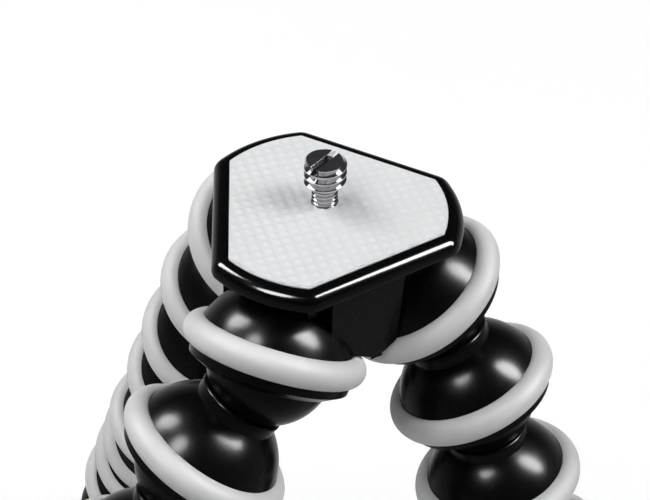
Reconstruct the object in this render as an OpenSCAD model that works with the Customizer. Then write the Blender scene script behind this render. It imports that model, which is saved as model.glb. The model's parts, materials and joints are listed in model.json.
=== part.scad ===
// Tripod with three flexible legs. Each leg is a chain of ball and socket segments with
// a rubber ring round every socket, and the legs meet in a hub under a three-sided camera plate.
// Origin: middle of the pad's top. +X points along the right leg.

/* [Camera plate] */
// Radius of the pad's three rounded corners, from its middle
pad_r = 18.2; // [17.5:0.1:19]
// Distance of the pad's three straight sides from its middle
pad_side = 14.1; // [13.6:0.1:14.8]
// Thickness of the pad
pad_t = 1.6; // [1.2:0.1:2]
// Height of the pad's top above the rim
pad_proud = 0.3; // [0.1:0.1:0.6]
// Gap between the pad and its recess
pad_gap = 0.05; // [0.05:0.05:0.2]
// Width of the rim round the pad
rim_w = 2.5; // [2.2:0.1:3]
// Radius of the rim's rounded top edge
rim_round = 2; // [1.4:0.1:2.1]
// Height of the plate, from its underside to the rim's top
plate_h = 2.4; // [2.3:0.1:2.8]
// Radius of the plate's rounded lower edge
plate_round = 0.3; // [0.2:0.1:0.5]
// Radius of the plate's six corners, seen from above
plate_corner = 3; // [2.4:0.1:4]

/* [Camera screw] */
// Radius of the camera thread's crest
thread_r = 3.15; // [3.1:0.01:3.17]
// Length of the camera thread
thread_len = 4.2; // [3.8:0.1:6]
// Height of the camera thread's lower end above the pad
thread_rise = 3.3; // [3:0.1:6]
// Radius of the thinner shank
shank_r = 1.95; // [1.8:0.05:2.2]
// Length of the shank that shows below its nut
shank_end = 1.5; // [1:0.1:2]
// Distance of the camera screw from the middle of the pad, towards the back
stud_back = 1.5; // [0:0.1:2]
// Gap round the shank in the plate, the pad and the nut
shank_gap = 0.05; // [0.05:0.05:0.2]
// Width of the screwdriver slot
slot_w = 1; // [0.8:0.1:1.2]
// Depth of the screwdriver slot
slot_depth = 1.7; // [0.8:0.1:2]
// Direction of the slot, from the right leg
slot_turn = 50; // [0:1:180]
// Width of the nut across its flats
nut_af = 7; // [6.5:0.1:7.5]
// Thickness of the nut
nut_t = 3.2; // [2.8:0.1:3.6]

/* [Plate screws] */
// Distance of the three plate screws from the middle of the plate
fix_r = 9.2; // [8.8:0.1:9.6]
// Radius of a plate screw's shank
fix_shank_r = 1.25; // [1:0.05:1.4]
// Radius of a plate screw's head
fix_head_r = 2.3; // [2:0.05:2.5]
// Length of a plate screw below the plate
fix_len = 7; // [5:0.1:8]

/* [Ball joints] */
// Radius of a ball
ball_r = 9.6; // [9.4:0.1:9.8]
// Gap between a ball and its socket
ball_gap = 0.2; // [0.15:0.05:0.25]
// Thickness of a socket's wall
socket_wall = 2.5; // [2.3:0.1:2.7]
// Distance from the ball's centre to the mouth of its socket
mouth_h = 2.4; // [2.3:0.1:2.6]
// Height of the bevel round the outside of the mouth
mouth_bevel = 1.1; // [0.8:0.1:1.3]
// Thickness of the socket's edge at the mouth
mouth_edge = 0.8; // [0.6:0.1:1.2]
// Distance from one ball's centre to the next
pitch = 20; // [19.7:0.1:20.6]
// Radius of the neck between a ball and the next socket
neck_r = 5.2; // [4.9:0.1:5.4]
// Radius of the collar at the foot of the neck
collar_r = 6.8; // [6.5:0.1:6.9]
// Height of the collar above the dome, at the collar's edge
collar_h = 2.3; // [2.1:0.05:2.4]
// Radius of the bead round the collar's rim
collar_bead = 0.4; // [0.3:0.05:0.5]

/* [Rubber rings] */
// Height of a ring along its leg
ring_h = 4.4; // [4.2:0.05:4.6]
// How far a ring stands out of the dome
ring_proud = 1.7; // [1.4:0.1:1.9]
// Depth of the groove that a ring sits in
ring_seat = 1; // [0.9:0.05:1.1]
// Distance from the middle of a ring to the ball's centre, towards the hub
ring_back = 2.1; // [1.9:0.05:2.2]
// Gap between a ring and its groove
ring_gap = 0.05; // [0.05:0.05:0.1]

/* [Hub] */
// Distance of the hub's sockets from its middle
socket_out = 16.2; // [16:0.1:16.8]
// Depth of the hub's sockets below the pad's top
socket_drop = 18; // [17.6:0.1:18.6]
// Tilt of the hub's sockets away from straight down
socket_tilt = 35; // [33:0.5:37]
// Distance of the faces of the hub's flat webs from its middle
web_out = 15.2; // [14.4:0.1:15.8]
// Reach of a web's free edge past the middle of its face, at the top
web_free = 4.2; // [4:0.1:4.6]
// How far that edge draws in on its way down
web_taper = 0.85; // [0.5:0.05:1]
// Reach of a web on its other side, where it runs into a socket
web_root = 8.2; // [7.8:0.1:8.6]
// Gap between the webs and the plate
web_gap = 0.1; // [0.05:0.05:0.3]
// Radius of the hub's middle column
core_r = 7; // [6.5:0.1:7.5]
// Depth of the underside of the column and the webs below the pad's top
core_drop = 18.4; // [17.5:0.1:19]
// Thickness of the roof that carries the plate
roof_t = 4.5; // [4.2:0.1:4.8]
// Radius of the roof's corners, from its middle
roof_r = 17; // [16.4:0.1:17.6]
// Distance of the roof's straight sides from its middle
roof_side = 13; // [12.5:0.1:13.5]
// Gap between the hub's core and the rings beside it
ring_room = 0.2; // [0.1:0.05:0.4]

/* [Feet] */
// Distance from the foot's ball to the middle of its rubber tip
foot_len = 20.4; // [20.2:0.1:21]
// Radius of the rubber tip
tip_r = 12; // [11.6:0.1:12.2]
// Thickness of the rubber tip round its stem
tip_wall = 3; // [2.5:0.1:4]
// Height of the shoulder's edge above the middle of the tip
shoulder_h = 2; // [1.5:0.1:2.5]
// Step from the shoulder down to the tip
shoulder_step = 0.6; // [0.4:0.1:0.8]
// Gap between the tip and its stem
tip_gap = 0.05; // [0.05:0.05:0.1]

/* [Hidden] */
$fn = 96;

black = "#131314";
rubber = "#e9e9e6";
chrome = "#cfd2d6";
steel = "#9a9da0";

segments = 7;
legs = [0, 1, 2];
leg_name = ["right_leg", "rear_leg", "front_leg"];
leg_turn = [0, 120, 240];

// The pose: how far each segment leans out from straight down, and how far it swings to the
// left seen from the hub, in degrees from the hub to the foot
lean = [
    [27, 16, 22, 27, 30, 32, 30],
    [25, 26, 27, 21, 34, 31, 27],
    [33, 31, 26, 21, 20, 22, 24]
];
swing = [
    [-12, -9, -5, 0, 4, 5, 4, 2],
    [4, 0, -1, 6, -9, -4, 0, 2],
    [-20.5, -12, -6, 0, 4, 5, 4, 2]
];
// The mean lean of the feet, which each settle at the lean that puts them on one level
foot_lean = 26;

socket_r = ball_r + ball_gap;
dome_r = socket_r + socket_wall;
ring_r = dome_r + ring_proud;
seat_r = dome_r - ring_seat;
ring_mid_r = ring_r - ring_h / 2;
ring_top = -ring_back - ring_h / 2 - ring_gap;
mouth_r = sqrt(pow(socket_r, 2) - pow(mouth_h, 2));
rim_top = -pad_proud;
plate_bottom = rim_top - plate_h;
nut_bottom = plate_bottom - nut_t;
shank_bottom = nut_bottom - shank_end;
fix_head_h = (plate_h - pad_t + pad_proud) / 2;
stem_r = tip_r - tip_wall;
far = 40;
layer_t = 0.01;

// Directions and joint centres

function sum(v, n) = n == 0 ? 0 : v[n - 1] + sum(v, n - 1);

function heading(leg, out, side) =
    let (t = leg_turn[leg])
    [
        cos(side) * sin(out) * cos(t) - sin(side) * sin(t),
        cos(side) * sin(out) * sin(t) + sin(side) * cos(t),
        -cos(side) * cos(out)
    ];

// Drop from the hub's joint to the foot's joint
function drop(leg) =
    pitch * sum([for (i = [0 : segments - 1]) cos(lean[leg][i]) * cos(swing[leg][i])], segments);

level = (drop(0) + drop(1) + drop(2)) / 3 + foot_len * cos(foot_lean);

function foot_cos(leg) = (level - drop(leg)) / (foot_len * cos(swing[leg][segments]));

function out_angle(leg, i) = i > segments ? acos(max(0.5, min(1, foot_cos(leg)))) : lean[leg][i - 1];

function dir(leg, i) = heading(leg, out_angle(leg, i), swing[leg][i - 1]);

function joint(leg, i) = i == 0
    ? socket_out * [cos(leg_turn[leg]), sin(leg_turn[leg]), 0] - [0, 0, socket_drop]
    : joint(leg, i - 1) + pitch * dir(leg, i);

// Puts a piece's own axis, with its ball at the origin and +Z towards the foot, along a direction
module aim(at, way) {
    translate(at)
        rotate([0, acos(way[2]), atan2(way[1], way[0])])
            children();
}

module on_segment(leg, i) {
    aim(joint(leg, i - 1), dir(leg, i))
        children();
}

module on_hub_socket(leg) {
    aim(joint(leg, 0), heading(leg, socket_tilt, 0))
        children();
}

// Shared shapes of a ball joint, with the ball's centre at the origin

// Section of a ring: a circle, flat where it sits in its groove
module ring_section(inner, grow) {
    translate([0, -ring_back])
        intersection() {
            translate([ring_mid_r, 0])
                circle(r = ring_h / 2 + grow);
            translate([inner, -ring_h])
                square([ring_h, 2 * ring_h]);
        }
}

module rubber_ring() {
    color(rubber)
        rotate_extrude()
            ring_section(seat_r + ring_gap, 0);
}

// Domed outside of a socket, cut off at the mouth and grooved for its ring
module socket_dome() {
    difference() {
        sphere(r = dome_r);
        translate([0, 0, mouth_h])
            cylinder(r = dome_r, h = dome_r);
        difference() {
            translate([0, 0, ring_top])
                cylinder(r = dome_r + 1, h = ring_h + 2 * ring_gap);
            translate([0, 0, -dome_r])
                cylinder(r = seat_r, h = 2 * dome_r);
        }
        rotate_extrude()
            mouth_corner();
    }
}

// Corner that the bevel takes off the mouth
module mouth_corner() {
    low = mouth_h - mouth_bevel;
    edge = mouth_r + mouth_edge;
    polygon([
        [sqrt(pow(dome_r, 2) - pow(low, 2)), low],
        [dome_r + 1, low],
        [dome_r + 1, mouth_h + 1],
        [edge, mouth_h + 1],
        [edge, mouth_h]
    ]);
}

// Neck between a ball and the dome of radius r that follows it, with a beaded collar on the dome
module neck(to, r) {
    reach = to - sqrt(pow(r, 2) - pow(collar_r, 2));
    translate([0, 0, ball_r / 2])
        cylinder(r = neck_r, h = to - ball_r);
    translate([0, 0, reach - collar_h])
        rotate_extrude()
            collar_section();
}

// Half section of the collar, which the bead overhangs a little at the top and at the side
module collar_section() {
    over = collar_bead / 3;
    translate([0, over])
        square([collar_r - over, collar_h + 1]);
    translate([collar_r - collar_bead, collar_bead])
        circle(r = collar_bead);
}

// Camera plate

// Outline with three straight sides and three round corners
module outline(r, side) {
    intersection() {
        circle(r = r);
        circle(r = 2 * side, $fn = 3);
    }
}

// One thin layer of the plate, drawn in from its widest outline
module plate_layer(z, inset) {
    translate([0, 0, z])
        linear_extrude(height = layer_t)
            offset(r = plate_corner - inset, $fn = 32)
                outline(pad_r + rim_w - plate_corner, pad_side + rim_w - plate_corner);
}

// The plate without its holes: layers that follow the rounded rim and the rounded lower edge
module plate_blank() {
    hull() {
        for (a = [0 : 15 : 90])
            plate_layer(plate_h - layer_t - rim_round * (1 - sin(a)), rim_round * (1 - cos(a)));
        for (a = [0 : 30 : 90])
            plate_layer(plate_round * (1 - sin(a)), plate_round * (1 - cos(a)));
    }
}

module at_stud(z) {
    translate([0, stud_back, z])
        children();
}

module at_plate_screws() {
    for (t = [60, 180, 300])
        rotate([0, 0, t])
            translate([fix_r, 0, 0])
                children();
}

module platform_plate() {
    color(black)
        difference() {
            translate([0, 0, plate_bottom])
                plate_blank();
            translate([0, 0, -pad_t])
                linear_extrude(height = pad_t + 1)
                    outline(pad_r + pad_gap, pad_side + pad_gap);
            at_stud(plate_bottom - 1)
                cylinder(r = shank_r + shank_gap, h = plate_h + 2);
            at_plate_screws()
                translate([0, 0, plate_bottom - 1]) {
                    cylinder(r = fix_shank_r + shank_gap, h = plate_h + 2);
                    translate([0, 0, 1 - pad_t - plate_bottom - fix_head_h])
                        cylinder(r = fix_head_r + shank_gap, h = plate_h);
                }
        }
}

module platform_pad() {
    color(rubber)
        difference() {
            translate([0, 0, -pad_t])
                linear_extrude(height = pad_t)
                    outline(pad_r, pad_side);
            at_stud(-pad_t - 1)
                cylinder(r = shank_r + shank_gap, h = pad_t + 2);
        }
}

// Camera screw and fasteners

module camera_screw() {
    color(chrome)
        at_stud(0)
            difference() {
                rotate_extrude()
                    screw_section();
                rotate([0, 0, slot_turn])
                    translate([-far / 2, -slot_w / 2, thread_rise + thread_len - slot_depth])
                        cube([far, slot_w, far]);
            }
}

// Half section of the stud: shank, cone up to the thread, and a chamfered top
module screw_section() {
    top = thread_rise + thread_len;
    chamfer = thread_r / 10;
    polygon([
        [0, shank_bottom],
        [shank_r - chamfer, shank_bottom],
        [shank_r, shank_bottom + chamfer],
        [shank_r, thread_rise - (thread_r - shank_r)],
        [thread_r, thread_rise],
        [thread_r, top - chamfer],
        [thread_r - chamfer, top],
        [0, top]
    ]);
}

module stud_nut() {
    color(steel)
        difference() {
            at_stud(nut_bottom)
                cylinder(r = nut_af / sqrt(3), h = nut_t, $fn = 6);
            at_stud(nut_bottom - 1)
                cylinder(r = shank_r + shank_gap, h = nut_t + 2);
        }
}

module plate_screws() {
    color(steel)
        at_plate_screws()
            union() {
                translate([0, 0, -pad_t - fix_head_h])
                    cylinder(r = fix_head_r, h = fix_head_h);
                translate([0, 0, plate_bottom - fix_len])
                    cylinder(r = fix_shank_r, h = fix_len - plate_bottom - pad_t - fix_head_h / 2);
            }
}

// Hub

module hub_body() {
    color(black)
        difference() {
            union() {
                hub_core();
                for (leg = legs)
                    on_hub_socket(leg)
                        socket_dome();
            }
            for (leg = legs)
                on_hub_socket(leg)
                    sphere(r = socket_r);
            at_stud(nut_bottom)
                cylinder(r = nut_af / sqrt(3) + shank_gap, h = far, $fn = 6);
            at_stud(shank_bottom - 1)
                cylinder(r = shank_r + shank_gap, h = far);
            at_plate_screws()
                translate([0, 0, plate_bottom - fix_len])
                    cylinder(r = fix_shank_r, h = far);
        }
}

// Core between the sockets: a column, a roof under the plate and three flat webs
module hub_core() {
    translate([0, 0, -core_drop])
        cylinder(r = core_r, h = core_drop + plate_bottom - roof_t / 2);
    translate([0, 0, plate_bottom - roof_t])
        linear_extrude(height = roof_t)
            outline(roof_r, roof_side);
    for (leg = legs)
        hub_web(leg);
}

// The web between a leg and the next, with room for the rings of both
module hub_web(leg) {
    difference() {
        difference() {
            rotate([0, 0, leg_turn[leg] + 60])
                web();
            beside_ring(leg);
        }
        beside_ring((leg + 1) % len(legs));
    }
}

module beside_ring(leg) {
    on_hub_socket(leg)
        translate([0, 0, ring_top - ring_room])
            cylinder(r = ring_r + ring_room, h = ring_h + 2 * ring_room);
}

// One web: its face has a free edge on one side and runs into a socket on the other
module web() {
    top = plate_bottom - web_gap;
    rotate([90, 0, 90])
        linear_extrude(height = web_out)
            polygon([
                [-web_root, -core_drop],
                [web_free - web_taper, -core_drop],
                [web_free, top],
                [-web_root, top]
            ]);
}

module hub_ring(leg) {
    on_hub_socket(leg)
        rubber_ring();
}

// Legs

module leg_segment(leg, i) {
    color(black)
        on_segment(leg, i)
            difference() {
                union() {
                    sphere(r = ball_r);
                    neck(pitch, dome_r);
                    translate([0, 0, pitch])
                        socket_dome();
                }
                translate([0, 0, pitch])
                    sphere(r = socket_r);
            }
}

module leg_ring(leg, i) {
    on_segment(leg, i)
        translate([0, 0, pitch])
            rubber_ring();
}

// Feet

module foot(leg) {
    color(black)
        on_segment(leg, segments + 1)
            union() {
                sphere(r = ball_r);
                neck(foot_len, tip_r + shoulder_step);
                difference() {
                    translate([0, 0, foot_len])
                        sphere(r = tip_r + shoulder_step);
                    translate([0, 0, foot_len - shoulder_h])
                        cylinder(r = far, h = far);
                }
                translate([0, 0, foot_len - shoulder_h - 1])
                    cylinder(r = stem_r, h = shoulder_h + 1 + tip_wall);
            }
}

module foot_tip(leg) {
    color(rubber)
        on_segment(leg, segments + 1)
            difference() {
                translate([0, 0, foot_len])
                    sphere(r = tip_r);
                translate([0, 0, foot_len - shoulder_h - far])
                    cylinder(r = far, h = far);
                cylinder(r = stem_r + tip_gap, h = foot_len + tip_wall + tip_gap);
            }
}

hub_body();
platform_plate();
platform_pad();
camera_screw();
stud_nut();
plate_screws();
for (leg = legs) {
    hub_ring(leg);
    for (i = [1 : segments]) {
        leg_segment(leg, i);
        leg_ring(leg, i);
    }
    foot(leg);
    foot_tip(leg);
}
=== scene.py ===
import json
import math
import bpy
from mathutils import Matrix, Vector


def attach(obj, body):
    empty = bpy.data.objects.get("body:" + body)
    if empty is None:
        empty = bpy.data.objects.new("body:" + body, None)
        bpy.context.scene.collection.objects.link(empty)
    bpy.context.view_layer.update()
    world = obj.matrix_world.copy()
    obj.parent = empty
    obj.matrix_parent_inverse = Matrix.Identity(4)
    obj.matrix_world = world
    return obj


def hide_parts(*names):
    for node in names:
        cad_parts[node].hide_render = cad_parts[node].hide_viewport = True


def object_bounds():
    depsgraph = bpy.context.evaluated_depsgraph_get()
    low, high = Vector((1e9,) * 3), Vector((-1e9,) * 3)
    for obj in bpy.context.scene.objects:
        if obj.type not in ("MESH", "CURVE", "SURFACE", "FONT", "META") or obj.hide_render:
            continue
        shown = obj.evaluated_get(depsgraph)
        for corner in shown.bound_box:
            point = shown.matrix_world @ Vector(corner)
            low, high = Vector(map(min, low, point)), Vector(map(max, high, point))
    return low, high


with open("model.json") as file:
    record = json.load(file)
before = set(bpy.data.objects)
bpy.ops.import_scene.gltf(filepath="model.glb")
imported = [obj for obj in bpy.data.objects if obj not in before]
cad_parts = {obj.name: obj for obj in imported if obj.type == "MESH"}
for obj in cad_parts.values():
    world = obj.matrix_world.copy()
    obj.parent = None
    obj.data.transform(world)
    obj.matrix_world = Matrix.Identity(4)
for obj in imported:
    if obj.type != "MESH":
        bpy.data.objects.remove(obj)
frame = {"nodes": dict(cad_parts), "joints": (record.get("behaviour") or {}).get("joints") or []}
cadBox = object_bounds()

mm = 0.001
near = 1e-6  # metres, when points are picked by place
weldGap = 1e-7
cutterLength = 20 * mm  # longer than anything it cuts
nodes = frame["nodes"]
jointAt = {joint["name"]: Vector(joint["pos_m"]) for joint in frame["joints"]}
legNames = ("right_leg", "rear_leg", "front_leg")
segmentCount = 7


# Small helpers for working as by hand

def deselectAll():
    if bpy.context.object and bpy.context.object.mode != "OBJECT":
        bpy.ops.object.mode_set(mode="OBJECT")
    bpy.ops.object.select_all(action="DESELECT")


def makeActive(obj):
    deselectAll()
    obj.select_set(True)
    bpy.context.view_layer.objects.active = obj


def newest(name):
    obj = bpy.context.object
    obj.name = name
    obj.data.name = name
    return obj


# Leaves obj in edit mode with only the edges selected that pass the test at both ends
def pickEdges(obj, test):
    makeActive(obj)
    bpy.ops.object.mode_set(mode="EDIT")
    bpy.ops.mesh.select_mode(type="EDGE")
    bpy.ops.mesh.select_all(action="DESELECT")
    bpy.ops.object.mode_set(mode="OBJECT")
    verts = obj.data.vertices
    for edge in obj.data.edges:
        edge.select = all(test(verts[i].co) for i in edge.vertices)
    bpy.ops.object.mode_set(mode="EDIT")


# The same for faces, tested on centre and normal
def pickFaces(obj, test):
    makeActive(obj)
    bpy.ops.object.mode_set(mode="EDIT")
    bpy.ops.mesh.select_mode(type="FACE")
    bpy.ops.mesh.select_all(action="DESELECT")
    bpy.ops.object.mode_set(mode="OBJECT")
    for face in obj.data.polygons:
        face.select = test(face.center, face.normal)
    bpy.ops.object.mode_set(mode="EDIT")


def applyModifier(obj, kind, **settings):
    makeActive(obj)
    modifier = obj.modifiers.new(kind.title(), kind)
    for key, value in settings.items():
        setattr(modifier, key, value)
    bpy.ops.object.modifier_apply(modifier=modifier.name)


# Boolean with a second object, which is used up
def cutOrJoin(obj, other, operation):
    applyModifier(obj, "BOOLEAN", object=other, operation=operation, solver="EXACT")
    bpy.data.objects.remove(other)


def smoothShade(obj, degrees):
    makeActive(obj)
    bpy.ops.object.shade_smooth_by_angle(angle=math.radians(degrees))


# One vertex drawn along a list of points, still in edit mode
def drawLine(name, points):
    deselectAll()
    bpy.ops.mesh.primitive_plane_add(size=mm)
    obj = newest(name)
    bpy.ops.object.mode_set(mode="EDIT")
    bpy.ops.mesh.select_mode(type="VERT")
    bpy.ops.mesh.select_all(action="SELECT")
    bpy.ops.mesh.merge(type="CENTER")
    bpy.ops.transform.translate(value=points[0])
    for start, end in zip(points, points[1:]):
        step = Vector(end) - Vector(start)
        bpy.ops.mesh.extrude_region_move(TRANSFORM_OT_translate={"value": step})
    return obj


def weldAndFace():
    bpy.ops.mesh.select_all(action="SELECT")
    bpy.ops.mesh.remove_doubles(threshold=weldGap)
    bpy.ops.mesh.normals_make_consistent(inside=False)
    bpy.ops.object.mode_set(mode="OBJECT")


# A half section in mm, drawn and spun round Z
def turned(name, section, steps=96, sharp=35):
    obj = drawLine(name, [(r * mm, 0, z * mm) for r, z in section])
    bpy.ops.mesh.select_all(action="SELECT")
    bpy.ops.mesh.spin(steps=steps, angle=math.tau, center=(0, 0, 0), axis=(0, 0, 1))
    weldAndFace()
    smoothShade(obj, sharp)
    return obj


# Arc of a section; 0 degrees points out from the axis and 90 degrees along +Z
def arc(centre, radius, start, end, steps):
    turns = [math.radians(start + (end - start) * i / steps) for i in range(steps + 1)]
    return [(centre[0] + radius * math.cos(t), centre[1] + radius * math.sin(t)) for t in turns]


# Copies a finished piece onto an axis: its own Z runs along way, from the point at
def placeCopy(piece, name, at, way):
    makeActive(piece)
    bpy.ops.object.duplicate(linked=False)
    copy = newest(name)
    copy.matrix_world = Matrix.Translation(at) @ way.to_track_quat("Z", "Y").to_matrix().to_4x4()
    bpy.ops.object.transform_apply(location=True, rotation=True, scale=True)
    return copy


def dress(obj, material):
    obj.data.materials.clear()
    obj.data.materials.append(material)


def settle(obj, body, slot, material, *replaced):
    dress(obj, material)
    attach(obj, body)
    if replaced:
        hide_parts(*replaced)


# Materials

def startMaterial(name):
    material = bpy.data.materials.new(name)
    material.use_nodes = True
    tree = material.node_tree
    return material, tree, tree.nodes["Principled BSDF"]


def addNode(tree, kind, **inputs):
    node = tree.nodes.new(kind)
    for key, value in inputs.items():
        node.inputs[key.replace("_", " ")].default_value = value
    return node


def noiseOn(tree, scale, detail=3, roughness=0.5):
    coords = addNode(tree, "ShaderNodeTexCoord")
    noise = addNode(tree, "ShaderNodeTexNoise", Scale=scale, Detail=detail, Roughness=roughness)
    tree.links.new(coords.outputs["Object"], noise.inputs["Vector"])
    return noise.outputs["Fac"]


def remap(tree, value, fromRange, toRange):
    node = addNode(tree, "ShaderNodeMapRange", From_Min=fromRange[0], From_Max=fromRange[1],
                   To_Min=toRange[0], To_Max=toRange[1])
    tree.links.new(value, node.inputs["Value"])
    return node.outputs["Result"]


def mixColours(tree, factor, first, second):
    node = tree.nodes.new("ShaderNodeMix")
    node.data_type = "RGBA"
    node.inputs["A"].default_value = (*first, 1)
    node.inputs["B"].default_value = (*second, 1)
    tree.links.new(factor, node.inputs["Factor"])
    return node.outputs["Result"]


def bumpFrom(tree, heights, strength, distance):
    bump = addNode(tree, "ShaderNodeBump", Strength=strength, Distance=distance)
    tree.links.new(heights, bump.inputs["Height"])
    return bump.outputs["Normal"]


legFinish = {
    "deep": (0.0028, 0.0028, 0.0031), "worn": (0.008, 0.008, 0.0085),
    "gloss": (0.20, 0.28),  # roughness, clean and handled
    "specular": 0.035,
    "peel": 900, "peelDepth": 0.010 * mm, "peelBump": 0.35,  # fine waviness of the moulded skin
    "smears": 70, "smearRange": (0.35, 0.7),
    "specks": 2600, "speckRange": (0.55, 0.8),
}
plateFinish = {
    "deep": (0.0022, 0.0022, 0.0026), "worn": (0.007, 0.007, 0.0075),
    "gloss": (0.10, 0.17),
    "specular": 0.056,
    "peel": 500, "peelDepth": 0.006 * mm, "peelBump": 0.35,
    "smears": 90, "smearRange": (0.35, 0.7),
    "specks": 3000, "speckRange": (0.55, 0.8),
}


def makeBlackPlastic(name, finish):
    material, tree, shader = startMaterial(name)
    smears = noiseOn(tree, finish["smears"], detail=5, roughness=0.6)
    specks = noiseOn(tree, finish["specks"], detail=2)
    peel = noiseOn(tree, finish["peel"], detail=3)
    wear = remap(tree, specks, finish["speckRange"], (0, 1))
    colour = mixColours(tree, wear, finish["deep"], finish["worn"])
    tree.links.new(colour, shader.inputs["Base Color"])
    tree.links.new(remap(tree, smears, finish["smearRange"], finish["gloss"]), shader.inputs["Roughness"])
    skin = bumpFrom(tree, peel, finish["peelBump"], finish["peelDepth"])
    tree.links.new(skin, shader.inputs["Normal"])
    shader.inputs["Specular IOR Level"].default_value = finish["specular"]
    return material


ringFinish = {
    "clean": (0.77, 0.77, 0.76), "dusty": (0.70, 0.695, 0.685),
    "dull": (0.48, 0.62), "specular": 0.063,
    "cloud": 60, "dustRange": (0.45, 0.75), "dullRange": (0.3, 0.7),
    "grain": 2400, "grainDepth": 0.02 * mm, "grainBump": 0.3,
    "glow": 0.12, "glowReach": (2.2 * mm, 2.0 * mm, 1.7 * mm),  # light that soaks into the rubber
}


def makeRingRubber():
    material, tree, shader = startMaterial("offWhiteRubber")
    cloud = noiseOn(tree, ringFinish["cloud"], detail=6, roughness=0.65)
    grain = noiseOn(tree, ringFinish["grain"], detail=2)
    dust = remap(tree, cloud, ringFinish["dustRange"], (0, 1))
    colour = mixColours(tree, dust, ringFinish["clean"], ringFinish["dusty"])
    tree.links.new(colour, shader.inputs["Base Color"])
    dull = remap(tree, cloud, ringFinish["dullRange"], ringFinish["dull"])
    tree.links.new(dull, shader.inputs["Roughness"])
    skin = bumpFrom(tree, grain, ringFinish["grainBump"], ringFinish["grainDepth"])
    tree.links.new(skin, shader.inputs["Normal"])
    shader.inputs["Specular IOR Level"].default_value = ringFinish["specular"]
    shader.inputs["Subsurface Weight"].default_value = ringFinish["glow"]
    shader.inputs["Subsurface Radius"].default_value = ringFinish["glowReach"]
    shader.inputs["Subsurface Scale"].default_value = 1
    return material


padFinish = {
    "clean": (0.76, 0.778, 0.78), "dusty": (0.722, 0.735, 0.735),
    "groove": (0.70, 0.716, 0.718), "grooveShadeDepth": 0.14 * mm,  # painted shade: the grooves are coloured darker than the cushion tops
    "dull": (0.42, 0.58), "specular": 0.07,
    "cloud": 110, "dustRange": (0.42, 0.72), "dullRange": (0.3, 0.7),
    "grain": 3000, "grainDepth": 0.015 * mm, "grainBump": 0.25,
}


def makePadRubber():
    material, tree, shader = startMaterial("whitePadRubber")
    cloud = noiseOn(tree, padFinish["cloud"], detail=6, roughness=0.6)
    grain = noiseOn(tree, padFinish["grain"], detail=2)
    dust = remap(tree, cloud, padFinish["dustRange"], (0, 1))
    top = mixColours(tree, dust, padFinish["clean"], padFinish["dusty"])
    coords = addNode(tree, "ShaderNodeTexCoord")
    split = addNode(tree, "ShaderNodeSeparateXYZ")
    tree.links.new(coords.outputs["Object"], split.inputs["Vector"])
    # painted shade: the colour darkens from the cushion tops down into the grooves
    depth = remap(tree, split.outputs["Z"], (0, -padFinish["grooveShadeDepth"]), (0, 1))
    colour = mixColours(tree, depth, padFinish["clean"], padFinish["groove"])
    tree.links.new(top, colour.node.inputs["A"])
    tree.links.new(colour, shader.inputs["Base Color"])
    dull = remap(tree, cloud, padFinish["dullRange"], padFinish["dull"])
    tree.links.new(dull, shader.inputs["Roughness"])
    skin = bumpFrom(tree, grain, padFinish["grainBump"], padFinish["grainDepth"])
    tree.links.new(skin, shader.inputs["Normal"])
    shader.inputs["Specular IOR Level"].default_value = padFinish["specular"]
    return material


chromeFinish = {
    "bright": (0.56, 0.56, 0.58), "dim": (0.42, 0.42, 0.435),
    "polish": (0.05, 0.12),
    "turnings": 5200, "turningDepth": 0.006 * mm, "turningBump": 0.12,  # fine lathe marks along the axis
    "stains": 500, "stainRange": (0.4, 0.7), "polishRange": (0.35, 0.7),
}


def makeChrome():
    material, tree, shader = startMaterial("turnedChrome")
    coords = addNode(tree, "ShaderNodeTexCoord")
    lathe = addNode(tree, "ShaderNodeTexWave", Scale=chromeFinish["turnings"] / math.tau,
                    Distortion=1.5, Detail=2)
    lathe.wave_type = "RINGS"
    lathe.rings_direction = "Z"
    tree.links.new(coords.outputs["Object"], lathe.inputs["Vector"])
    stains = noiseOn(tree, chromeFinish["stains"], detail=5, roughness=0.6)
    tarnish = remap(tree, stains, chromeFinish["stainRange"], (0, 1))
    colour = mixColours(tree, tarnish, chromeFinish["bright"], chromeFinish["dim"])
    tree.links.new(colour, shader.inputs["Base Color"])
    polish = remap(tree, stains, chromeFinish["polishRange"], chromeFinish["polish"])
    tree.links.new(polish, shader.inputs["Roughness"])
    marks = bumpFrom(tree, lathe.outputs["Fac"], chromeFinish["turningBump"], chromeFinish["turningDepth"])
    tree.links.new(marks, shader.inputs["Normal"])
    shader.inputs["Metallic"].default_value = 1
    return material


steelFinish = {
    "bright": (0.48, 0.48, 0.47), "dim": (0.34, 0.34, 0.34),
    "dull": (0.28, 0.45),
    "scuffs": 1400, "scuffDepth": 0.01 * mm, "scuffBump": 0.15,
    "wearRange": (0.35, 0.7), "dullRange": (0.3, 0.7),
}


def makeSteel():
    material, tree, shader = startMaterial("plainSteel")
    scuffs = noiseOn(tree, steelFinish["scuffs"], detail=4)
    wear = remap(tree, scuffs, steelFinish["wearRange"], (0, 1))
    colour = mixColours(tree, wear, steelFinish["bright"], steelFinish["dim"])
    tree.links.new(colour, shader.inputs["Base Color"])
    dull = remap(tree, scuffs, steelFinish["dullRange"], steelFinish["dull"])
    tree.links.new(dull, shader.inputs["Roughness"])
    marks = bumpFrom(tree, scuffs, steelFinish["scuffBump"], steelFinish["scuffDepth"])
    tree.links.new(marks, shader.inputs["Normal"])
    shader.inputs["Metallic"].default_value = 1
    return material


blackPlastic = makeBlackPlastic("glossBlackPlastic", legFinish)
platePlastic = makeBlackPlastic("polishedBlackPlastic", plateFinish)
ringRubber = makeRingRubber()
padRubber = makePadRubber()
chrome = makeChrome()
steel = makeSteel()
print("materials made")


# Camera plate: three-sided outline with rounded corners, bevelled rim, recess for the pad

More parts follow.
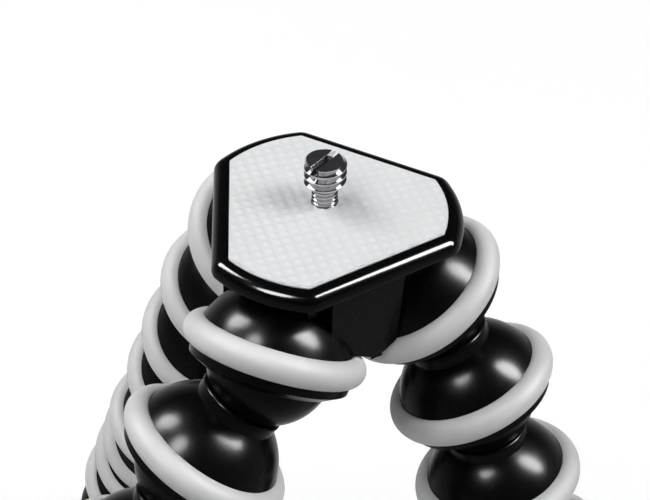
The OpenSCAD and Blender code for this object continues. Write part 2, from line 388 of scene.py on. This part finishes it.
plate = {
    "padR": 18.2, "padSide": 14.1, "rim": 2.5,  # pad's round corners and straight sides, rim round it
    "corner": 3.0,  # rounding of the six corners, seen from above
    "top": -0.3, "height": 2.4,
    "topRound": 2.0, "topSteps": 10, "lowRound": 0.3, "lowSteps": 6,
    "lip": 0.42, "recess": 1.3,  # flat lip round the pad, depth of its recess
    "screwHole": 2.05, "screwBack": 1.5,  # the camera screw stands a little behind the middle
    "sharp": 32,  # edges past this angle stay sharp, in degrees
}


# Cuts the hole for the camera screw
def drillForScrew(obj, name):
    deselectAll()
    bpy.ops.mesh.primitive_cylinder_add(vertices=48, radius=plate["screwHole"] * mm, depth=cutterLength,
                                        location=(0, plate["screwBack"] * mm, 0))
    cutOrJoin(obj, newest(name), "DIFFERENCE")


# Three long sides and three round ends: points every few degrees, in mm, anticlockwise
def threeSided(endR, side, corner, arcStep=1.5, cornerSteps=8):
    innerR, innerSide = endR - corner, side - corner
    half = math.degrees(math.acos(innerSide / innerR))  # from a side's middle to the end of its inner line
    points = []
    for middle in (60, 180, 300):
        turn = middle + half
        at = (innerR * math.cos(math.radians(turn)), innerR * math.sin(math.radians(turn)))
        points += arc(at, corner, middle, turn, cornerSteps)
        reach = 120 - 2 * half
        count = max(2, round(reach / arcStep))
        points += arc((0, 0), endR, turn, turn + reach, count)[1:-1]
        turn += reach
        at = (innerR * math.cos(math.radians(turn)), innerR * math.sin(math.radians(turn)))
        points += arc(at, corner, turn, middle + 120, cornerSteps)
    return points


# A flat face with that outline at a height, left in edit mode and selected
def outlineFace(name, outline, z):
    points = [(x * mm, y * mm, z * mm) for x, y in outline]
    obj = drawLine(name, points)
    bpy.ops.mesh.select_all(action="SELECT")
    bpy.ops.mesh.edge_face_add()
    return obj


def makePlate():
    top = plate["top"] * mm
    low = top - plate["height"] * mm
    outline = threeSided(plate["padR"] + plate["rim"], plate["padSide"] + plate["rim"], plate["corner"])
    obj = outlineFace("platformPlate", outline, plate["top"] - plate["height"])
    bpy.ops.mesh.extrude_region_move(TRANSFORM_OT_translate={"value": (0, 0, plate["height"] * mm)})
    weldAndFace()
    pickEdges(obj, lambda co: abs(co.z - top) < near)
    bpy.ops.mesh.bevel(offset=plate["topRound"] * mm, segments=plate["topSteps"], affect="EDGES")
    pickEdges(obj, lambda co: abs(co.z - low) < near)
    bpy.ops.mesh.bevel(offset=plate["lowRound"] * mm, segments=plate["lowSteps"], affect="EDGES")
    pickFaces(obj, lambda co, normal: abs(co.z - top) < near and normal.z > 0.99)
    bpy.ops.mesh.inset(thickness=plate["lip"] * mm)
    bpy.ops.mesh.extrude_region_move(TRANSFORM_OT_translate={"value": (0, 0, -plate["recess"] * mm)})
    bpy.ops.object.mode_set(mode="OBJECT")
    drillForScrew(obj, "plateHole")
    smoothShade(obj, plate["sharp"])
    return obj


settle(makePlate(), "head", "black_plastic", platePlastic, "platform_plate")
print("plate made")


# Pad: a sheet of small raised cushions in rows, trimmed to the pad's outline

pad = {
    "pitch": 1.65, "turn": 15.5,  # spacing and direction of the rows
    "groove": 0.17,  # half width of the grooves between the cushions
    "rise": 0.2, "shoulder": 0.13,  # full height, and height where a cushion rounds over
    "round": 0.2, "crown": 0.28,  # widths of its steep side and of its rounded top
    "cells": 26, "thick": 1.3, "corner": 0.6,
    "margin": 0.3, "marginRise": 0.03,  # plain strip round the cushions, a little above the grooves
    "sharp": 50,
}


# The pad's outline, drawn in by an inset, as a solid between two heights
def padBlank(name, inset, low, high):
    outline = threeSided(plate["padR"] - inset, plate["padSide"] - inset, pad["corner"])
    obj = outlineFace(name, outline, low)
    bpy.ops.mesh.extrude_region_move(TRANSFORM_OT_translate={"value": (0, 0, (high - low) * mm)})
    weldAndFace()
    return obj


def makePad():
    across = pad["pitch"] * pad["cells"] * mm
    deselectAll()
    bpy.ops.mesh.primitive_grid_add(x_subdivisions=pad["cells"], y_subdivisions=pad["cells"], size=across,
                                    location=(0, 0, -pad["rise"] * mm))
    sheet = newest("platformPad")
    bpy.ops.object.transform_apply(location=True, rotation=True, scale=True)
    border = across / 2 - near
    pickEdges(sheet, lambda co: max(abs(co.x), abs(co.y)) > border)
    bpy.ops.mesh.extrude_region_move(TRANSFORM_OT_translate={"value": (0, 0, -pad["thick"] / 2 * mm)})
    bpy.ops.mesh.edge_face_add()
    pickFaces(sheet, lambda co, normal: normal.z > 0.9 and co.z > -2 * pad["rise"] * mm)
    bpy.ops.mesh.inset(thickness=pad["groove"] * mm, use_individual=True)
    bpy.ops.mesh.inset(thickness=pad["round"] * mm, depth=pad["shoulder"] * mm, use_individual=True)
    bpy.ops.mesh.inset(thickness=pad["crown"] * mm, depth=(pad["rise"] - pad["shoulder"]) * mm,
                       use_individual=True)
    weldAndFace()
    sheet.rotation_euler.z = math.radians(pad["turn"])
    makeActive(sheet)
    bpy.ops.object.transform_apply(location=True, rotation=True, scale=True)
    cutOrJoin(sheet, padBlank("padInside", pad["margin"], -2 * pad["thick"], pad["thick"]), "INTERSECT")
    strip = pad["marginRise"] - pad["rise"]
    cutOrJoin(sheet, padBlank("padStrip", 0, -pad["thick"], strip), "UNION")
    drillForScrew(sheet, "padHole")
    smoothShade(sheet, pad["sharp"])
    return sheet


settle(makePad(), "head", "pad_rubber", padRubber, "platform_pad")
print("pad made")


# Camera screw: wound thread with chamfered ends and a slot, on a finer threaded shank

stud = {
    "crestR": 3.15, "pitch": 1.27, "low": 3.3, "high": 7.5,
    "topFlat": 2.88, "topSlope": 0.34,  # flat round the slot, and height of the slope round it
    "lowCone": 0.6,  # run-out at the lower end
    "slotWidth": 1.0, "slotDepth": 1.7, "slotTurn": 50, "slotBreak": 0.08,  # the last is its broken edges
    "shankR": 1.95, "shankPitch": 0.7, "shankLow": -7.4,
    "coneRise": 0.3, "clear": 0.01,  # the run-out's upper end, and room between the crest and its blank
    "sharp": 30,
}


# A thread of one section, wound up by the Screw modifier and cut flat at both ends
def woundThread(name, crestR, pitch, low, high, steps=64):
    depth = pitch * 0.541  # of a 60 degree thread, and so are the shares of the pitch below
    start = low - 1.5 * pitch
    root, flank, crest = pitch / 4, pitch * 5 / 16, pitch / 8
    section = [(crestR - depth, start), (crestR - depth, start + root), (crestR, start + root + flank),
               (crestR, start + root + flank + crest), (crestR - depth, start + pitch)]
    obj = drawLine(name, [(r * mm, 0, z * mm) for r, z in section])
    bpy.ops.object.mode_set(mode="OBJECT")
    turns = math.ceil((high - start) / pitch) + 1
    applyModifier(obj, "SCREW", screw_offset=pitch * mm, iterations=turns, steps=steps, render_steps=steps)
    bpy.ops.object.mode_set(mode="EDIT")
    for z, side in ((low, "clear_inner"), (high, "clear_outer")):
        bpy.ops.mesh.select_all(action="SELECT")
        bpy.ops.mesh.remove_doubles(threshold=weldGap)
        bpy.ops.mesh.bisect(plane_co=(0, 0, z * mm), plane_no=(0, 0, 1), use_fill=True,
                            threshold=1e-8, **{side: True})
    weldAndFace()
    return obj


def makeStud():
    low, high = stud["low"] - stud["lowCone"], stud["high"]
    thread = woundThread("cameraStud", stud["crestR"], stud["pitch"], low, high)
    edge = stud["crestR"] + stud["clear"]
    blank = turned("studBlank", [
        (0, low),
        (stud["shankR"], low),
        (edge, stud["low"] + stud["coneRise"]),
        (edge, high - stud["topSlope"]),
        (stud["topFlat"], high),
        (0, high),
    ])
    cutOrJoin(thread, blank, "INTERSECT")
    shank = woundThread("studShank", stud["shankR"], stud["shankPitch"], stud["shankLow"], stud["low"])
    cutOrJoin(thread, shank, "UNION")
    turn = math.radians(stud["slotTurn"])
    deselectAll()
    bpy.ops.mesh.primitive_cube_add(size=1, location=(0, 0, high * mm), rotation=(0, 0, turn))
    slotCutter = newest("slotCutter")
    slotCutter.scale = (cutterLength, stud["slotWidth"] * mm, 2 * stud["slotDepth"] * mm)
    bpy.ops.object.transform_apply(location=True, rotation=True, scale=True)
    cutOrJoin(thread, slotCutter, "DIFFERENCE")
    across = Vector((-math.sin(turn), math.cos(turn), 0))
    half = stud["slotWidth"] / 2 * mm
    pickEdges(thread, lambda co: abs(co.z - high * mm) < near and abs(abs(co.dot(across)) - half) < near)
    bpy.ops.mesh.bevel(offset=stud["slotBreak"] * mm, segments=1, affect="EDGES")
    bpy.ops.object.mode_set(mode="OBJECT")
    thread.location.y = plate["screwBack"] * mm
    makeActive(thread)
    bpy.ops.object.transform_apply(location=True, rotation=True, scale=True)
    smoothShade(thread, stud["sharp"])
    return thread


cameraStud = makeStud()
settle(cameraStud, "head", "chrome", chrome, "camera_screw")
print("stud made")


# Rubber rings round the sockets, and the directions that all leg pieces follow

leg = {"hubTilt": 35}  # the hub's sockets, from straight down, in degrees


def socketWay(name):
    out = jointAt[name + "_joint_1"].xy.to_3d().normalized()
    tilt = math.radians(leg["hubTilt"])
    return out * math.sin(tilt) - Vector((0, 0, math.cos(tilt)))


def segmentWay(name, i):
    return (jointAt[f"{name}_joint_{i + 1}"] - jointAt[f"{name}_joint_{i}"]).normalized()


# Middle of a node's surface, which lies on the axis of a turned piece
def nodeCentre(name):
    mesh = nodes[name].data
    area = sum(face.area for face in mesh.polygons)
    return sum((face.center * face.area for face in mesh.polygons), Vector()) / area


def footWay(name):
    return (nodeCentre(name + "_foot_tip") - jointAt[f"{name}_joint_{segmentCount + 1}"]).normalized()


ring = {
    "middleR": 11.8, "tubeR": 2.2, "back": 2.1,  # round section, its middle back from the ball's centre
    "seatR": 11.35, "seatRound": 0.25,  # flat inside face and its rounded edges
    "steps": 112, "tubeSteps": 44, "edgeSteps": 5, "sharp": 60,
}


def makeRing():
    seat = ring["seatR"] + ring["seatRound"]
    spread = math.degrees(math.acos((seat - ring["middleR"]) / (ring["tubeR"] - ring["seatRound"])))
    rise = (ring["tubeR"] - ring["seatRound"]) * math.sin(math.radians(spread))
    section = arc((ring["middleR"], -ring["back"]), ring["tubeR"], -spread, spread, ring["tubeSteps"])
    section += arc((seat, rise - ring["back"]), ring["seatRound"], spread, 180, ring["edgeSteps"])[1:]
    section += arc((seat, -rise - ring["back"]), ring["seatRound"], 180, 360 - spread, ring["edgeSteps"])
    return turned("legRing", section, steps=ring["steps"], sharp=ring["sharp"])


ringModel = makeRing()
for name in legNames:
    copy = placeCopy(ringModel, name + "HubRing", jointAt[name + "_joint_1"], socketWay(name))
    settle(copy, "head", "ring_rubber", ringRubber, name + "_hub_ring")
    for i in range(1, segmentCount + 1):
        copy = placeCopy(ringModel, f"{name}Ring{i}", jointAt[f"{name}_joint_{i + 1}"], segmentWay(name, i))
        settle(copy, f"{name}_link_{i}", "ring_rubber", ringRubber, f"{name}_ring_{i}")
bpy.data.objects.remove(ringModel)
print("rings made")


# Rubber foot tips

tip = {
    "reach": 20.4, "r": 12.0,  # from the ball to the middle of the round tip, and its radius
    "wall": 3.0, "rise": 2.0,  # rubber round the stem, and its edge above the middle
    "gap": 0.05, "edgeRound": 0.5,  # room round the stem
    "steps": 112, "roundSteps": 36, "edgeSteps": 6, "stemSteps": 4, "sharp": 50,
}


def makeTip():
    inner = tip["r"] - tip["wall"] + tip["gap"]
    edge = tip["edgeRound"]
    top = tip["reach"] - tip["rise"]
    roundZ = -tip["rise"] + edge  # the rounded edge's centre, from the middle
    roundR = math.sqrt((tip["r"] - edge) ** 2 - roundZ ** 2)
    lean = math.degrees(math.atan2(roundZ, roundR))
    stemEnd = tip["reach"] + tip["wall"] + tip["gap"]
    section = [(0, stemEnd)]
    section += arc((inner - edge / 2, stemEnd - edge / 2), edge / 2, 90, 0, tip["stemSteps"])
    section += [(inner, top)]
    section += arc((roundR, tip["reach"] + roundZ), edge, -90, lean, tip["edgeSteps"])
    section += arc((0, tip["reach"]), tip["r"], lean, 90, tip["roundSteps"])[1:]
    return turned("footTip", section, steps=tip["steps"], sharp=tip["sharp"])


tipModel = makeTip()
for name in legNames:
    copy = placeCopy(tipModel, name + "FootTip", jointAt[f"{name}_joint_{segmentCount + 1}"], footWay(name))
    settle(copy, name + "_foot_link", "ring_rubber", ringRubber, name + "_foot_tip")
bpy.data.objects.remove(tipModel)
print("foot tips made")


# The CAD solids that stay

for node, obj in nodes.items():
    if not obj.hide_render:
        dress(obj, steel if node in ("stud_nut", "plate_screws") else blackPlastic)
print("CAD nodes dressed")


# Camera at the photograph's view

photoView = {
    "width": 650, "focal": 1450, "sensor": 36,  # pixels, and mm for the sensor
    "azimuth": -3.64, "elevation": 40.35, "roll": 1.86,  # degrees
    "distance": 213.8, "slideRight": -0.012, "slideUp": 6.47,  # mm
}


# Unit vector from the object to a place round it, by azimuth from +X and elevation in degrees
def wayTo(azimuth, elevation):
    turn, rise = math.radians(azimuth), math.radians(elevation)
    return Vector((math.cos(turn) * math.cos(rise), math.sin(turn) * math.cos(rise), math.sin(rise)))


def makeCamera():
    roll = math.radians(photoView["roll"])
    back = wayTo(photoView["azimuth"] - 90, photoView["elevation"])  # azimuth 0 looks along +Y
    level = wayTo(photoView["azimuth"], 0)
    upright = back.cross(level)
    right = level * math.cos(roll) + upright * math.sin(roll)
    up = upright * math.cos(roll) - level * math.sin(roll)
    place = back * photoView["distance"] - right * photoView["slideRight"] - up * photoView["slideUp"]
    deselectAll()
    bpy.ops.object.camera_add()
    camera = newest("photoCamera")
    camera.matrix_world = Matrix.Translation(place * mm) @ Matrix((right, up, back)).transposed().to_4x4()
    camera.data.sensor_width = photoView["sensor"]
    camera.data.lens = photoView["sensor"] * photoView["focal"] / photoView["width"]
    camera.data.clip_start = 10 * mm
    bpy.context.scene.camera = camera


makeCamera()


# Three softboxes, a dim room that is pale near the horizon, and a pale floor. Sizes are in metres

softboxes = (
    {"name": "softboxRight", "azimuth": -5, "elevation": 45, "size": (0.42, 0.42), "power": 2.65,
     "glint": (0.23, 0.48), "glintPower": 68,  # its bright middle
     "sheen": (0.34, 0.5), "sheenPower": 1.1},  # what the chrome shows of it
    {"name": "softboxLeft", "azimuth": 152, "elevation": 46, "size": (0.46, 0.46), "power": 2.3,
     "glint": (0.23, 0.36), "glintPower": 36,
     "sheen": (0.3, 0.4), "sheenPower": 0.7},
    {"name": "softboxFront", "azimuth": -144, "elevation": 57, "size": (0.36, 0.36), "power": 1.35,
     "glint": (0.22, 0.3), "glintPower": 31,
     "sheen": (0.3, 0.4), "sheenPower": 0.7},
)
lampDistance = {"soft": 0.7, "glint": 0.68, "sheen": 0.66}  # apart, because a ray meets the nearest only


# A lamp that faces the origin, wide and tall as given
def addLamp(box, name, distance, size, power):
    way = wayTo(box["azimuth"], box["elevation"])
    deselectAll()
    bpy.ops.object.light_add(type="AREA")
    lamp = newest(name)
    turn = way.to_track_quat("Z", "Y").to_matrix().to_4x4()
    lamp.matrix_world = Matrix.Translation(way * distance) @ turn
    lamp.data.shape = "ELLIPSE"
    lamp.data.size, lamp.data.size_y = size
    lamp.data.energy = power
    return lamp


# Light linking: the lamp reaches only this piece, or all but this piece
def linkLamp(lamp, piece, state):
    group = bpy.data.collections.new(lamp.name + "Pieces")
    group.objects.link(piece)
    group.collection_objects[0].light_linking.link_state = state
    lamp.light_linking.receiver_collection = group


# The light itself, and just before it two lamps that show in gloss only, the second on the chrome alone
def makeSoftbox(box):
    soft = addLamp(box, box["name"], lampDistance["soft"], box["size"], box["power"])
    soft.visible_glossy = False
    middle = addLamp(box, box["name"] + "Middle", lampDistance["glint"], box["glint"], box["glintPower"])
    middle.visible_diffuse = False
    linkLamp(middle, cameraStud, "EXCLUDE")
    sheen = addLamp(box, box["name"] + "Sheen", lampDistance["sheen"], box["sheen"], box["sheenPower"])
    sheen.visible_diffuse = False
    linkLamp(sheen, cameraStud, "INCLUDE")


for box in softboxes:
    makeSoftbox(box)

room = {"low": (0.85, 0.86, 0.88), "high": (0.06, 0.06, 0.065), "lowEnd": 0.03, "highStart": 0.36}


def makeRoom():
    world = bpy.data.worlds.new("studioRoom")
    world.use_nodes = True
    tree = world.node_tree
    coords = addNode(tree, "ShaderNodeTexCoord")
    split = addNode(tree, "ShaderNodeSeparateXYZ")
    tree.links.new(coords.outputs["Generated"], split.inputs["Vector"])
    height = remap(tree, split.outputs["Z"], (room["lowEnd"], room["highStart"]), (0, 1))
    colour = mixColours(tree, height, room["low"], room["high"])
    tree.links.new(colour, tree.nodes["Background"].inputs["Color"])
    bpy.context.scene.world = world


makeRoom()

floorLook = {
    "radius": 5, "pale": (0.5, 0.5, 0.5), "faint": (0.47, 0.47, 0.47), "mottle": 9, "dull": 0.9,
    "lift": (0.64, 0.92), "liftOver": (0.25, 1.2),  # glow under the object and farther out, where it is dim
}


# White to the eye and in reflections through Light Path, and it still shows the object's shadow
def makeFloor():
    deselectAll()
    bpy.ops.mesh.primitive_circle_add(vertices=96, radius=floorLook["radius"], fill_type="NGON",
                                      location=(0, 0, cadBox[0].z))
    floor = newest("studioFloor")
    bpy.ops.object.transform_apply(location=True, rotation=True, scale=True)
    material, tree, shader = startMaterial("floorPaper")
    mottle = noiseOn(tree, floorLook["mottle"], detail=4)
    colour = mixColours(tree, mottle, floorLook["pale"], floorLook["faint"])
    tree.links.new(colour, shader.inputs["Base Color"])
    shader.inputs["Roughness"].default_value = floorLook["dull"]
    shader.inputs["Specular IOR Level"].default_value = 0
    path = addNode(tree, "ShaderNodeLightPath")
    seen = path.outputs["Is Camera Ray"]
    for ray in ("Is Glossy Ray", "Is Transmission Ray"):
        either = tree.nodes.new("ShaderNodeMath")
        either.operation = "MAXIMUM"
        tree.links.new(seen, either.inputs[0])
        tree.links.new(path.outputs[ray], either.inputs[1])
        seen = either.outputs["Value"]
    coords = addNode(tree, "ShaderNodeTexCoord")
    away = tree.nodes.new("ShaderNodeVectorMath")
    away.operation = "LENGTH"
    tree.links.new(coords.outputs["Object"], away.inputs[0])
    lift = tree.nodes.new("ShaderNodeMath")
    lift.operation = "MULTIPLY"
    glow = remap(tree, away.outputs["Value"], floorLook["liftOver"], floorLook["lift"])
    tree.links.new(glow, lift.inputs[0])
    tree.links.new(seen, lift.inputs[1])
    shader.inputs["Emission Color"].default_value = (1, 1, 1, 1)
    tree.links.new(lift.outputs["Value"], shader.inputs["Emission Strength"])
    dress(floor, material)


makeFloor()
bpy.context.scene.view_settings.view_transform = "Standard"
print("camera, lights and floor set")
